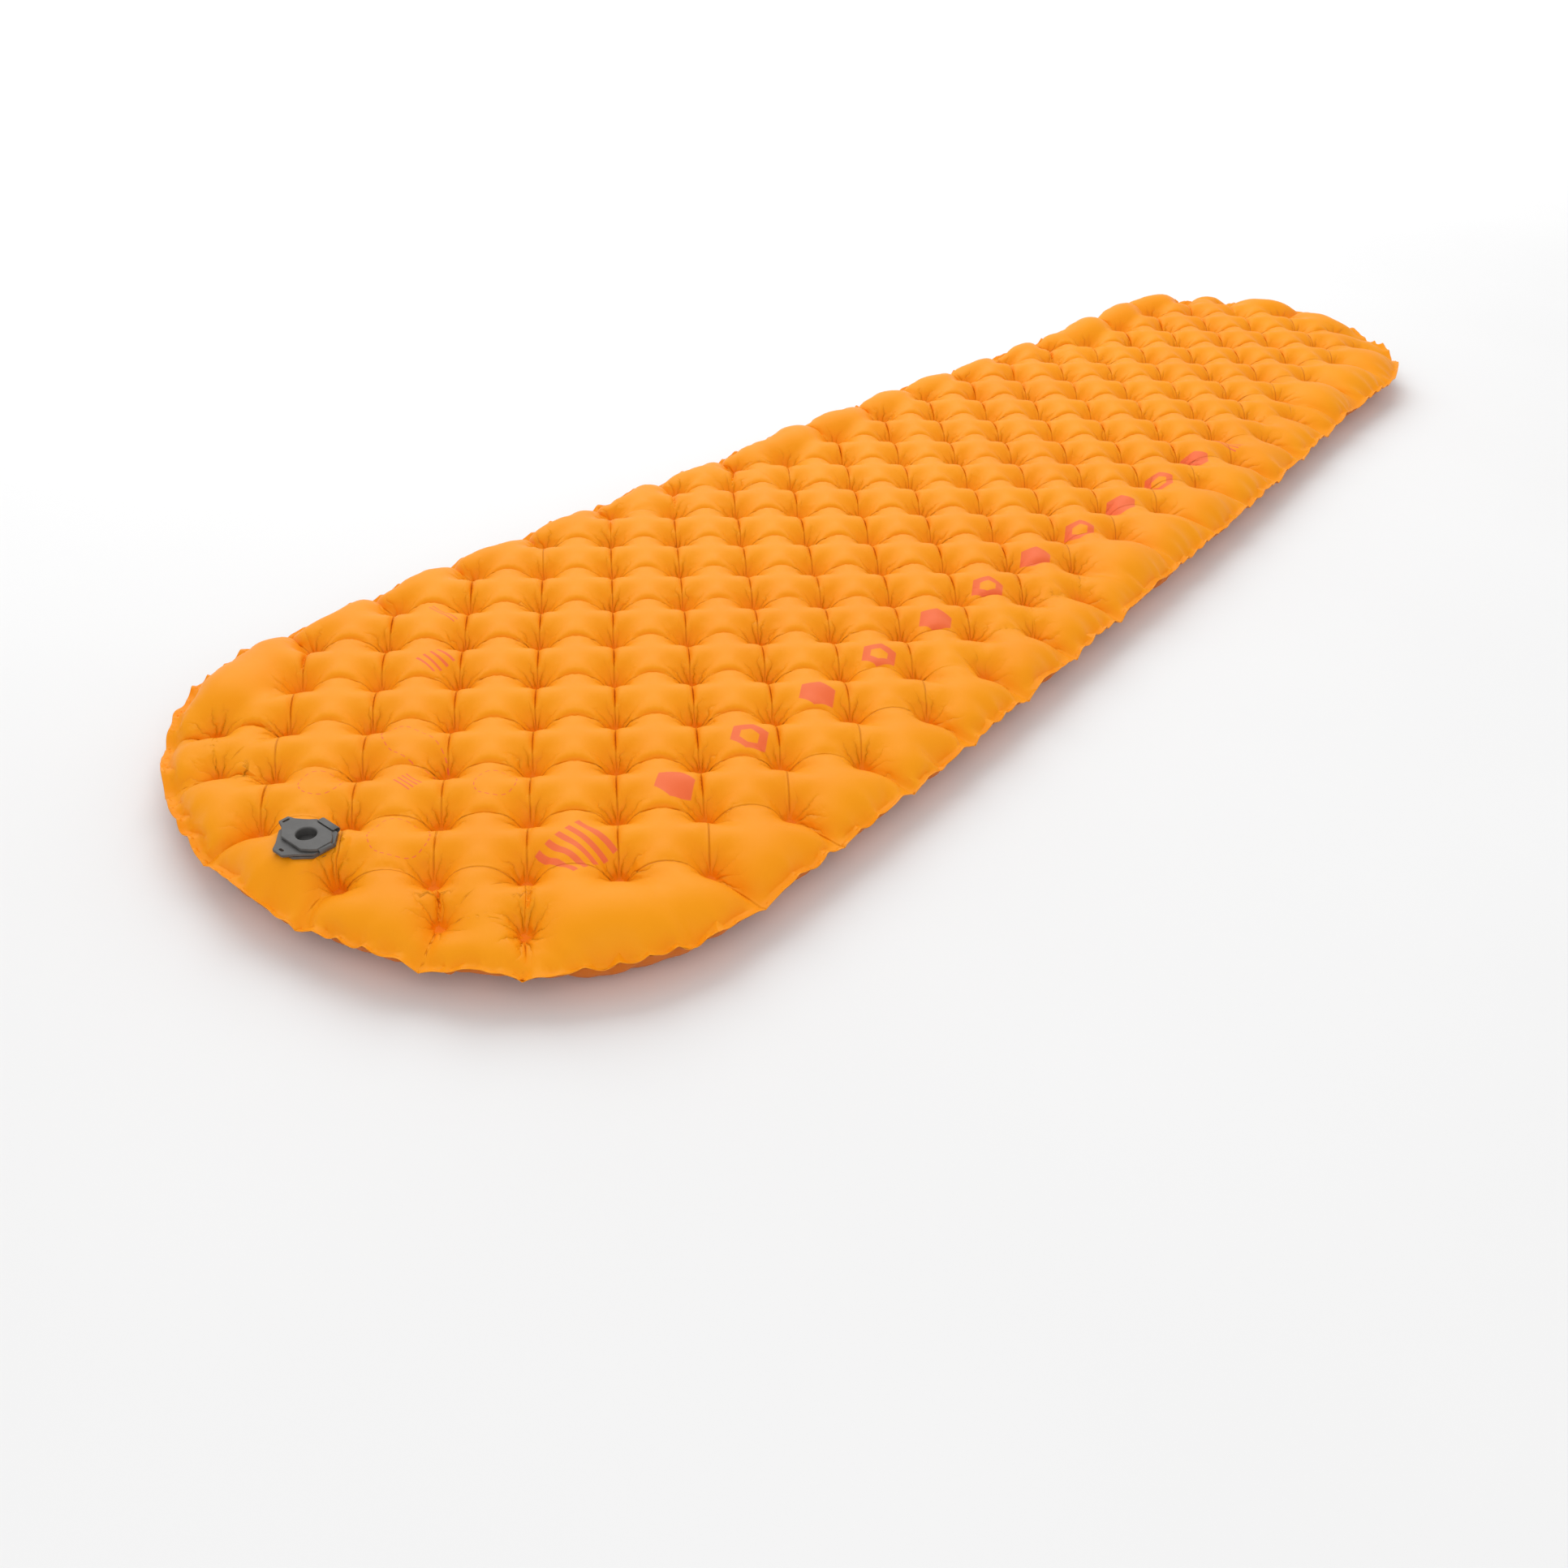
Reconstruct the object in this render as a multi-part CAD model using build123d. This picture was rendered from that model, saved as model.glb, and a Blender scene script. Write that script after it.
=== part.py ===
from build123d import *

import math
import os

# Inflatable sleeping pad: two coated fabric sheets welded round the edge and joined by rows of
# weld dots, with a flat three-layer valve near the head. Millimetres. +Z is up, the pad lies on
# z = 0, the head (wide, valve) end points to -Y and the foot end to +Y.

# ---- Driving dimensions: pad ----
PAD_LENGTH = 1830.0
HEAD_HALF_WIDTH = 278.0
FOOT_HALF_WIDTH = 206.0
HEAD_END_DEPTH = 217.0  # length of the rounded head end
FOOT_END_DEPTH = 209.0
SIDE_POINTS = ((275.0, -450.0), (258.5, -122.0), (234.0, 271.0))  # where each side tapers
PAD_THICKNESS = 50.0
FABRIC = 0.8  # wall thickness given to each sheet
WELD_FILM = 0.8  # melted coating between the two sheets
FLANGE_WIDTH = 5.0
EDGE_ROUNDING = 16.0

# ---- Driving dimensions: weld dots ----
DOT_SPACING = 66.0  # side of the square lattice, which is turned 45 degrees to the pad
DOT_RADIUS = 5.0
DOT_MIN_DISTANCE = 24.0  # a lattice point nearer the edge than this has no dot
HEAD_ROW_MIN_DISTANCE = 14.0  # except in the last row before the head's tip
HEAD_ROW_Y = -850.0
DOT_PULL_IN = 38.0  # a dot nearer the edge than this is drawn in to this distance
LATTICE_Y = 17.3  # the middle column, at X = 0, has a dot at this Y
PIT_RADIUS = 16.0
PIT_FLOOR_RADIUS = 4.0

# ---- Driving dimensions: insulation ----
BATT_THICKNESS = 3.0
BATT_TOP = 47.0
FILM_THICKNESS = 0.5
LAYER_INSET = 25.0
LAYER_HOLE_RADIUS = 18.0

# ---- Driving dimensions: valve ----
VALVE_X = 10.0
VALVE_Y = -865.0
BASE_FLANGE_RADIUS = 22.0
PIT_CLEARANCE = 3.0  # between the base's weld flange and the nearest pit
BASE_FLANGE_THICKNESS = 1.0
COLLAR_RADIUS = 14.2
COLLAR_BOTTOM = 42.0
DEFLATION_BORE = 12.4
INFLATION_BORE = 9.5
CHAMBER_BORE = 8.6
BASE_TOP = 52.0
PLUG_BOTTOM = 43.0
PLUG_PLATE = (52.4, 54.6)  # underside and top of the middle plate
CAP_PLATE = (54.9, 57.3)  # underside and top of the upper plate
SKIRT_RADIUS = 11.6
SKIRT_FOOT_RADIUS = 10.2
CHAMBER_TOP = 49.0
WELL_RADIUS = 7.4
WELL_WALL = 1.2
WELL_FLOOR = 50.0
STRAP_THICKNESS = 0.9
DEFLATION_AXIS = (20.0, 53.5)  # distance in +Y from the valve's middle, and height
CAP_AXIS = (21.8, 54.75)  # distance in +X from the valve's middle, and height
DEFLATION_STRAP_WIDTH = 18.0
CAP_STRAP_WIDTH = 11.0
BUTTON_RADIUS = 3.0
STEM_RADIUS = 1.1

MID_Z = PAD_THICKNESS / 2
TOP_START = MID_Z + WELD_FILM / 2
BOTTOM_START = MID_Z - WELD_FILM / 2


# ---- Pad outline and lattice ----
def outline(inset):
    """The pad's outline as a face at z = 0, drawn in by inset all round."""
    head_y = -PAD_LENGTH / 2 + HEAD_END_DEPTH
    foot_y = PAD_LENGTH / 2 - FOOT_END_DEPTH
    head_x, foot_x = HEAD_HALF_WIDTH - inset, FOOT_HALF_WIDTH - inset
    with BuildSketch() as sketch:
        with BuildLine():
            EllipticalCenterArc((0, head_y), head_x, HEAD_END_DEPTH - inset, start_angle=180, arc_size=180)
            EllipticalCenterArc((0, foot_y), foot_x, FOOT_END_DEPTH - inset, start_angle=0, arc_size=180)
            for side in (1, -1):
                tapered = [(side * (x - inset), y) for x, y in SIDE_POINTS]
                ends = (side * head_x, head_y), (side * foot_x, foot_y)
                Spline(ends[0], *tapered, ends[1], tangents=((0, 1), (0, 1)))
        make_face()
    return sketch.sketch


def weld_dot_places():
    """Centres of the weld dots: the lattice points inside the pad, the outermost drawn in."""
    pad = outline(0).face()
    edge = pad.outer_wire()
    half_diagonal = DOT_SPACING / math.sqrt(2)
    columns = int(HEAD_HALF_WIDTH / half_diagonal) + 1
    rows = int(PAD_LENGTH / 2 / half_diagonal) + 1
    places = []
    for row in range(-rows, rows + 1):
        for column in range(-columns, columns + 1):
            place = Vector(column * half_diagonal, LATTICE_Y + row * half_diagonal, 0)
            if (row + column) % 2 or not pad.is_inside(place):
                continue
            nearest = edge.closest_points(place)[0]
            distance = (place - nearest).length
            least = HEAD_ROW_MIN_DISTANCE if place.Y < HEAD_ROW_Y else DOT_MIN_DISTANCE
            if distance >= least:
                pull = max(0.0, DOT_PULL_IN - distance)
                place = place + (place - nearest).normalized() * pull
                places.append((place.X, place.Y))
    return places


def pit_radius(x, y):
    """A pit's radius at the crown: smaller beside the valve, whose flange lies on flat fabric."""
    room = math.hypot(x - VALVE_X, y - VALVE_Y) - BASE_FLANGE_RADIUS - PIT_CLEARANCE
    return min(PIT_RADIUS, room)


# ---- Fabric sheets ----
def pit(x, y, grow):
    """The cone between the crown and a weld dot, wider by grow on its slope."""
    floor_z = TOP_START + FABRIC * (1 - grow)
    height = PAD_THICKNESS - floor_z
    radii = PIT_FLOOR_RADIUS + grow * 2, pit_radius(x, y) + grow * 2
    cone = Cone(radii[0], radii[1], height, align=(Align.CENTER, Align.CENTER, Align.MIN))
    return Pos(x, y, floor_z) * cone


def half_envelope(inset, top):
    """One side of the pad, from the weld plane to top, with its rounded upper edge."""
    block = Pos(0, 0, TOP_START) * extrude(outline(inset), top - TOP_START)
    rounding = EDGE_ROUNDING - (inset - FLANGE_WIDTH)
    return fillet(block.faces().sort_by(Axis.Z)[-1].edges(), rounding)


def fabric_sheet(places):
    """The upper sheet: a thin dished shell with a pit at each dot and half of the seam flange."""
    flange_ring = outline(0) - outline(FLANGE_WIDTH + FABRIC / 2)
    flange = Pos(0, 0, TOP_START) * extrude(flange_ring, FABRIC)
    hollow = half_envelope(FLANGE_WIDTH + FABRIC, PAD_THICKNESS - FABRIC)
    hollow = hollow - [pit(x, y, 1) for x, y in places]
    sheet = half_envelope(FLANGE_WIDTH, PAD_THICKNESS) - hollow
    sheet = sheet - [pit(x, y, 0) for x, y in places]
    return sheet + flange


def valve_hole():
    """The hole in the upper sheet that the valve's collar passes through."""
    return Pos(VALVE_X, VALVE_Y, PAD_THICKNESS) * Cylinder(COLLAR_RADIUS, 4 * FABRIC)


def edge_weld():
    ring = outline(0) - outline(FLANGE_WIDTH)
    return Pos(0, 0, BOTTOM_START) * extrude(ring, WELD_FILM)


def weld_dots(places):
    """The welded discs, which are separate from each other."""
    disc = Cylinder(DOT_RADIUS, WELD_FILM)
    return Compound(children=[Pos(x, y, MID_Z) * disc for x, y in places])


def inner_layer(places, low, high):
    """A flat layer under the upper sheet, punched where each pit and the collar pass through."""
    layer = Pos(0, 0, low) * extrude(outline(LAYER_INSET), high - low)
    punches = [Pos(x, y, low) * Cylinder(LAYER_HOLE_RADIUS, 4 * BATT_THICKNESS) for x, y in places]
    collar_hole = Pos(VALVE_X, VALVE_Y, low) * Cylinder(COLLAR_RADIUS + 2.8, 4 * BATT_THICKNESS)
    return layer - (punches + [collar_hole])


# ---- Valve: shared shapes, drawn about the valve's own middle ----
def plate(points, low, high, corner, edge):
    """A flat plate with the given corner points, rounded corners and softened edges."""
    face = make_face(Polyline(*points, close=True))
    face = fillet(face.vertices(), corner)
    solid = Pos(0, 0, low) * extrude(face, high - low)
    rims = solid.faces().sort_by(Axis.Z)[-1].edges() + solid.faces().sort_by(Axis.Z)[0].edges()
    return fillet(rims, edge)


def tube(outer, inner, low, high):
    ring = Circle(outer) - Circle(inner)
    return Pos(0, 0, low) * extrude(ring, high - low)


def disc(radius, low, high):
    return Pos(0, 0, low) * extrude(Circle(radius), high - low)


def folded_strap(width, axis, upper_z, lower_z, upper_start, lower_start):
    """A strap folded round its hinge line, drawn in the XZ plane and as wide as width along Y."""
    out = axis[0]
    bend = (upper_z - lower_z) / 2
    ring = Circle(bend + STRAP_THICKNESS / 2) - Circle(bend - STRAP_THICKNESS / 2)
    half = ring & Pos(2 * bend, 0) * Rectangle(4 * bend, 8 * bend)
    section = Pos(out, (upper_z + lower_z) / 2) * half
    for start, z in ((upper_start, upper_z), (lower_start, lower_z)):
        leg = Rectangle(out - start, STRAP_THICKNESS, align=(Align.MIN, Align.CENTER))
        section += Pos(start, z) * leg
    return extrude(Plane.XZ * section, amount=width / 2, both=True)


def octagon(reach, corner_cut):
    """Corner points of a square plate of the given reach with its corners cut off."""
    short = reach - corner_cut
    quarter = [(reach, short), (short, reach)]
    points = []
    for turn in range(4):
        angle = math.radians(90 * turn)
        for x, y in quarter:
            points.append((x * math.cos(angle) - y * math.sin(angle), x * math.sin(angle) + y * math.cos(angle)))
    return points


# ---- Valve: the pieces ----
def valve_base():
    """Port body: weld flange inside the fabric, collar through it and an eight-sided rim on top."""
    flange_top = PAD_THICKNESS - FABRIC
    flange = disc(BASE_FLANGE_RADIUS, flange_top - BASE_FLANGE_THICKNESS, flange_top)
    collar = disc(COLLAR_RADIUS, COLLAR_BOTTOM, PAD_THICKNESS + 0.5)
    rim = plate(octagon(20.0, 10.5), PAD_THICKNESS, BASE_TOP, 3.0, 0.5)
    bore = disc(DEFLATION_BORE, COLLAR_BOTTOM - 1, BASE_TOP + 1)
    return flange + collar + rim - bore


def plug_outline():
    """Corner points of the middle plate: eight-sided, with its pull tab towards -Y."""
    return [
        (20.8, -8.5), (20.8, 8.5), (12.0, 18.0), (-12.0, 18.0), (-20.8, 8.5), (-20.8, -8.5),
        (-10.5, -18.5), (-5.5, -25.0), (5.5, -25.0), (10.5, -18.5),
    ]  # fmt: skip


def deflation_plug():
    """Middle plate with a tapered skirt that closes the wide port and holds the narrow port."""
    body = plate(plug_outline(), PLUG_PLATE[0], PLUG_PLATE[1], 2.2, 0.5)
    skirt_step = CHAMBER_TOP + 0.5
    body += disc(SKIRT_RADIUS, skirt_step, PLUG_PLATE[0] + 0.4)
    upward = (Align.CENTER, Align.CENTER, Align.MIN)
    taper = Cone(SKIRT_FOOT_RADIUS, SKIRT_RADIUS, skirt_step - PLUG_BOTTOM, align=upward)
    body += Pos(0, 0, PLUG_BOTTOM) * taper
    body -= disc(INFLATION_BORE, CHAMBER_TOP, PLUG_PLATE[1] + 1)
    body -= disc(CHAMBER_BORE, PLUG_BOTTOM - 1, CHAMBER_TOP)
    body -= Pos(0, -21.2, PLUG_PLATE[0]) * extrude(SlotOverall(4.6, 2.2), 4)
    return body


def plug_seal():
    """Sealing lip round the skirt."""
    return tube(DEFLATION_BORE - 0.3, SKIRT_RADIUS, 50.4, 51.4)


def deflation_strap():
    """Hinge strap from the middle plate to the base, folded over on the +Y side."""
    strap = folded_strap(DEFLATION_STRAP_WIDTH, DEFLATION_AXIS, 55.4, 51.6, 16.0, 20.2)
    return Rot(0, 0, 90) * strap


def port_seat():
    """Spoked seat of the one-way valve, fixed in the foot of the skirt."""
    low, high = 43.8, 45.0
    seat = tube(CHAMBER_BORE, 6.8, low, high) + tube(2.4, STEM_RADIUS + 0.2, low, high)
    spoke = Pos(4.6, 0, (low + high) / 2) * Box(4.8, 1.5, high - low)
    for turn in range(4):
        seat += Rot(0, 0, 45 + 90 * turn) * spoke
    return seat


def valve_diaphragm():
    """Thin flap under the seat that lets air in and not out."""
    return tube(7.8, STEM_RADIUS, PLUG_BOTTOM, 43.7)


def release_button():
    """Button, stem and foot: pressed, it pushes the diaphragm off its seat."""
    knob = fillet(disc(BUTTON_RADIUS, 46.7, 48.2).faces().sort_by(Axis.Z)[-1].edges(), 0.6)
    return knob + disc(STEM_RADIUS, 42.5, 47.0) + disc(2.0, 42.0, PLUG_BOTTOM)


def cap_outline():
    """Corner points of the upper plate: its pull tab towards -X and its hinge edge towards +X."""
    half = [(20.6, 6.0), (17.5, 9.5), (11.5, 13.6), (-10.5, 13.6), (-16.5, 9.0), (-21.0, 6.0), (-26.8, 4.2)]
    return half + [(x, -y) for x, y in reversed(half)]


def inflation_cap():
    """Upper plate with a hollow plug, open on top as a finger well, that closes the narrow port."""
    cap = plate(cap_outline(), CAP_PLATE[0], CAP_PLATE[1], 1.6, 0.6)
    plug_radius = WELL_RADIUS + WELL_WALL
    cap += disc(plug_radius, WELL_FLOOR - WELL_WALL, CAP_PLATE[0] + 0.4)
    cap -= disc(WELL_RADIUS, WELL_FLOOR, CAP_PLATE[1] + 1)
    rim = [edge for edge in cap.edges().filter_by(GeomType.CIRCLE)
           if abs(edge.radius - WELL_RADIUS) < 0.01 and abs(edge.center().Z - CAP_PLATE[1]) < 0.01]  # fmt: skip
    cap = fillet(rim, 1.2)
    cap -= Pos(-23.2, 0, CAP_PLATE[0]) * extrude(Rot(0, 0, 90) * SlotOverall(6.0, 2.0), 4)
    return cap


def cap_seal():
    """Sealing lip round the hollow plug."""
    return tube(INFLATION_BORE - 0.15, WELL_RADIUS + WELL_WALL, 52.8, 53.6)


def cap_strap():
    """Hinge strap from the upper plate to the middle plate, folded over on the +X side."""
    return folded_strap(CAP_STRAP_WIDTH, CAP_AXIS, 56.1, 53.4, 20.6, 20.8)


def main():
    places = weld_dot_places()
    print("weld dots:", len(places))
    upper = fabric_sheet(places)
    lower = Pos(0, 0, PAD_THICKNESS) * Rot(180, 0, 0) * mirror(upper, Plane.XZ)
    at_valve = Pos(VALVE_X, VALVE_Y, 0)
    batt_low = BATT_TOP - BATT_THICKNESS
    parts = {
        "top_fabric": upper - valve_hole(),
        "bottom_fabric": lower,
        "edge_weld": edge_weld(),
        "weld_dots": weld_dots(places),
        "insulation_batt": inner_layer(places, batt_low, BATT_TOP),
        "reflective_film": inner_layer(places, batt_low - FILM_THICKNESS, batt_low),
        "valve_base": at_valve * valve_base(),
        "deflation_plug": at_valve * deflation_plug(),
        "plug_seal": at_valve * plug_seal(),
        "deflation_strap": at_valve * deflation_strap(),
        "port_seat": at_valve * port_seat(),
        "valve_diaphragm": at_valve * valve_diaphragm(),
        "release_button": at_valve * release_button(),
        "inflation_cap": at_valve * inflation_cap(),
        "cap_seal": at_valve * cap_seal(),
        "cap_strap": at_valve * cap_strap(),
    }
    os.makedirs("parts", exist_ok=True)
    for node, shape in parts.items():
        export_step(shape, f"parts/{node}.step")
        print(node, round(shape.volume), "mm3")


main()
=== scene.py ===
import math

import bmesh
import bpy
import numpy as np
from mathutils import Matrix, Vector


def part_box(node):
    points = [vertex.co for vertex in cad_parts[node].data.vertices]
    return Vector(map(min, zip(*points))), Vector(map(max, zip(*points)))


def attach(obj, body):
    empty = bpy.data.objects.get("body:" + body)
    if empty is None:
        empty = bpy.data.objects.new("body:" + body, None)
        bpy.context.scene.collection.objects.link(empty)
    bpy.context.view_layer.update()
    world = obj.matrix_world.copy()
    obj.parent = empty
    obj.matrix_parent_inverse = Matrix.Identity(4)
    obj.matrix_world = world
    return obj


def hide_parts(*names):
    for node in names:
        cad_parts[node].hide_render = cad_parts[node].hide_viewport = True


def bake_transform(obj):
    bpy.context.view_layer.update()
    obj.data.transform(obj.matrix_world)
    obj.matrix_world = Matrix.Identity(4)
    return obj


# Inflatable sleeping pad. Metres. +Z is up, the pad lies on z = 0 and its head end points to -Y.
# The two fabric sheets are inflated here by a small cloth solver: a square grid of springs for each
# sheet, stiff when pulled and nearly slack when pushed, held at the weld dots and the welded edge.

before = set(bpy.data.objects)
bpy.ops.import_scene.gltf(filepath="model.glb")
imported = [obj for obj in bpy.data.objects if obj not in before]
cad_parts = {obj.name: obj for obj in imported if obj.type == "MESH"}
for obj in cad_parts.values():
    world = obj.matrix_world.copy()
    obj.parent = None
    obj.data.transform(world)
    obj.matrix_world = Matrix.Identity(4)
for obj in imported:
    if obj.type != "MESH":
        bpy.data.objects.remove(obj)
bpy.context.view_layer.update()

# ---- Sizes taken from the frame ----
PAD_LOW, PAD_HIGH = (np.array(corner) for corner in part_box("edge_weld"))
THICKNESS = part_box("top_fabric")[1][2]
MIDDLE = THICKNESS / 2
PORT = (np.array(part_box("plug_seal")[0]) + np.array(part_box("plug_seal")[1]))[:2] / 2

# ---- Fabric layout ----
DOT_PITCH = 0.066  # side of the square lattice of weld dots, which is turned 45 degrees to the pad
HALF_DIAGONAL = round(DOT_PITCH / math.sqrt(2), 6)
LATTICE_Y = 0.0173  # the lattice has a dot here on the middle line
DOT_RADIUS = 0.005
FLANGE = 0.005  # width of the welded edge
FABRIC = 0.0008
PORT_RADIUS = 0.0250  # fabric held flat over the valve's weld flange
COLLAR_RADIUS = 0.0142  # hole in the top sheet

# ---- Slack: how much longer the fabric is than the flat distance, as a share of it ----
SLACK = 0.14  # between dots
SLACK_VARIATION = 0.12  # how unevenly that is spread, as a share of it
SLACK_WAVES = (71, 53)  # in X and Y, in radians a metre
EDGE_SLACK = (0.46, 0.78)  # in the outermost cells, across the edge: top sheet, bottom sheet
EDGE_GATHER = 0.10  # and along it
EDGE_BAND = (0.006, 0.036)  # both fade out between these distances from the edge
NOTCH_SLACK = -0.03  # in the tight strip between the edge and a dot near it
NOTCH_REACH = 0.006  # half width of that strip

# ---- Shape of the welded edge on the inflated pad ----
SEAM_RISE = 0.0090  # the weld's inner line over the middle of the thickness, before its waves and drops
SEAM_SPREAD = 0.0040  # pressure carries the weld this far out past the flat outline
SEAM_SHIFT = (0.0040, 0.0110)  # the edge's offset in X, at the head and at the foot
SEAM_SHIFT_Y = (-0.2, 0.9)  # it grows from the one to the other between these
FLANGE_TILT = 0.55  # the flange turns up this much, in radians, between the dots near it
PINCH_RANGE = 0.060  # a dot nearer the edge than this draws the weld down
PINCH_FADE = 0.03  # fully, if it is nearer by this much
PINCH_DROP = 0.013  # how far
PINCH_REACH = 0.011  # the drop fades over about this length of the edge
SLOW_WAVE, SWAG, CRINKLE = 0.0010, 0.0050, 0.0010  # heights of the waves between such dots
SWAY = 0.0009  # and how far the edge strays sideways

# ---- Solver ----
PRESSURE = 0.8
PUSH = 0.003  # stiffness when pushed, as a share of the stiffness when pulled
BEND = 0.002  # stiffness against folding, between places two steps apart
DIAGONAL_BEND = 0.5  # the same at 45 degrees to the grid, as a share of that
BIAS = 0.08  # stiffness at 45 degrees to the yarns, against along them
FLANGE_PUSH = 0.5  # stiffness of the welded edge when pushed
FLANGE_MARGIN = 0.6  # grid steps past the flange that are as stiff as the flange
PORT_PULL = 0.2  # share of the way to the valve's flange that the fabric over it moves in one step
GAIN = 0.11
DAMPING = 0.97
COARSE, FINE = 7, 14  # grid divisions in half a lattice diagonal
COARSE_STEPS, FINE_STEPS, QUICK_STEPS = 420, 260, 30
DOT_SEARCH = 0.09  # half width of the square in which a dot may be a place's nearest
FAR_AWAY = 9.0  # farther than any dot


# ---- Weld lines read from the frame ----
def edge_ring():
    """Outer edge of the weld film in the frame, in order round the pad."""
    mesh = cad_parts["edge_weld"].data
    upright = 0.3  # a wall's normal has less Z than this
    digits = 5
    places = set()
    for face in mesh.polygons:
        out = face.normal.x * face.center.x + face.normal.y * face.center.y
        if abs(face.normal.z) < upright and out > 0:
            corners = [mesh.vertices[i].co[:2] for i in face.vertices]
            places.update(tuple(round(c, digits) for c in corner) for corner in corners)
    return np.array(sorted(places, key=lambda p: math.atan2(p[1], p[0])))


def dot_places():
    """Middle of each weld dot in the frame."""
    left = np.array([v.co[:2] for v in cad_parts["weld_dots"].data.vertices])
    apart = 2.2 * DOT_RADIUS  # more than a dot is wide
    places = []
    while len(left):
        near = np.hypot(*(left - left[0]).T) < apart
        places.append((left[near].min(0) + left[near].max(0)) / 2)
        left = left[~near]
    return np.array(sorted(map(tuple, places)))


class Outline:
    """The pad's edge as a closed line of even steps."""

    STEP = 0.002
    STRIDE = 16  # steps between the points that a search tries first
    SMOOTHING = 4  # steps either way that each point is averaged over

    def __init__(self, ring):
        closed = np.vstack([ring, ring[:1]])
        arc = np.r_[0, np.cumsum(np.hypot(*np.diff(closed, axis=0).T))]
        count = int(arc[-1] / self.STEP) // self.STRIDE * self.STRIDE
        at = np.arange(count) * arc[-1] / count
        line = np.c_[np.interp(at, arc, closed[:, 0]), np.interp(at, arc, closed[:, 1])]
        shifts = range(-self.SMOOTHING, self.SMOOTHING + 1)
        line = np.mean([np.roll(line, k, axis=0) for k in shifts], axis=0)
        tangent = np.roll(line, -1, axis=0) - np.roll(line, 1, axis=0)
        tangent /= np.hypot(*tangent.T)[:, None]
        self.point, self.tangent = line, tangent
        self.normal = np.c_[tangent[:, 1], -tangent[:, 0]]
        self.length, self.step = arc[-1], arc[-1] / count

    def locate(self, places):
        """How far inside the edge each place is, and the arc length of the edge's nearest point."""
        best = np.full(len(places), np.inf)
        index = np.zeros(len(places), int)
        for k in range(0, len(self.point), self.STRIDE):
            gap = ((places - self.point[k]) ** 2).sum(1)
            nearer = gap < best
            best[nearer], index[nearer] = gap[nearer], k
        start = index.copy()
        for shift in range(-self.STRIDE, self.STRIDE + 1):
            k = (start + shift) % len(self.point)
            gap = ((places - self.point[k]) ** 2).sum(1)
            nearer = gap < best
            best[nearer], index[nearer] = gap[nearer], k[nearer]
        off = places - self.point[index]
        inside = -(off * self.normal[index]).sum(1)
        return inside, (index * self.step + (off * self.tangent[index]).sum(1)) % self.length

    def at(self, arc):
        """Points and outward normals at these arc lengths."""
        ends = np.r_[np.arange(len(self.point)), len(self.point)] * self.step
        columns = np.vstack([np.c_[self.point, self.normal], np.c_[self.point, self.normal][:1]])
        found = np.stack([np.interp(arc, ends, column) for column in columns.T], -1)
        return found[..., :2], found[..., 2:]


OUTLINE = Outline(edge_ring())
DOTS = dot_places()
DOT_INSIDE, DOT_ARC = OUTLINE.locate(DOTS)
EDGE_DOTS = DOT_INSIDE < PINCH_RANGE


def notch(arc, reach):
    """From 0 to 1, how near an arc length is to a dot that draws the edge in, for each such dot."""
    gap = np.abs(np.asarray(arc)[..., None] - DOT_ARC[EDGE_DOTS])
    gap = np.minimum(gap, OUTLINE.length - gap)
    return np.exp(-gap / reach)


def ripple(arc, wavelength, phase=0.0, wander=0.0, wander_wavelength=1.0):
    """A wave along the edge, from -1 to 1, whose length wanders about the given one."""
    turn = 2 * math.pi * arc
    return np.sin(turn / wavelength + phase + wander * np.sin(turn / wander_wavelength))


def scallops(wave, rounding):
    """A row of arcs, from about 0 to 1, with rounded cusps between them."""
    return np.sqrt(wave**2 + rounding)


def seam_shape(arc, inset):
    """Where the welded edge lies on the inflated pad, at this inset from its rim."""
    share = np.clip((PINCH_RANGE - DOT_INSIDE[EDGE_DOTS]) / PINCH_FADE, 0, 1)
    pinch = (notch(arc, PINCH_REACH) * share).max(-1)
    loose = 1 - pinch
    slow = ripple(arc, 0.097, phase=1) + ripple(arc, 0.061, phase=2)
    swag = scallops(ripple(arc, 0.073, wander=2.3, wander_wavelength=0.211), 0.02)
    crinkle = scallops(ripple(arc, 0.033, wander=1.7, wander_wavelength=0.131), 0.03)
    sway = ripple(arc, 0.043, wander=2, wander_wavelength=0.145)
    tilt = FLANGE_TILT * loose
    place, normal = OUTLINE.at(arc)
    out = SEAM_SPREAD - FLANGE + (FLANGE - inset) * np.cos(tilt) + SWAY * sway * loose
    place = place + normal * out[..., None]
    place[..., 0] += np.interp(place[..., 1], SEAM_SHIFT_Y, SEAM_SHIFT)
    waves = SLOW_WAVE * slow - SWAG * swag - CRINKLE * crinkle
    height = MIDDLE + SEAM_RISE + (FLANGE - inset) * np.sin(tilt)
    height = height + waves * loose - PINCH_DROP * pinch
    return np.concatenate([place, height[..., None]], -1)


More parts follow.
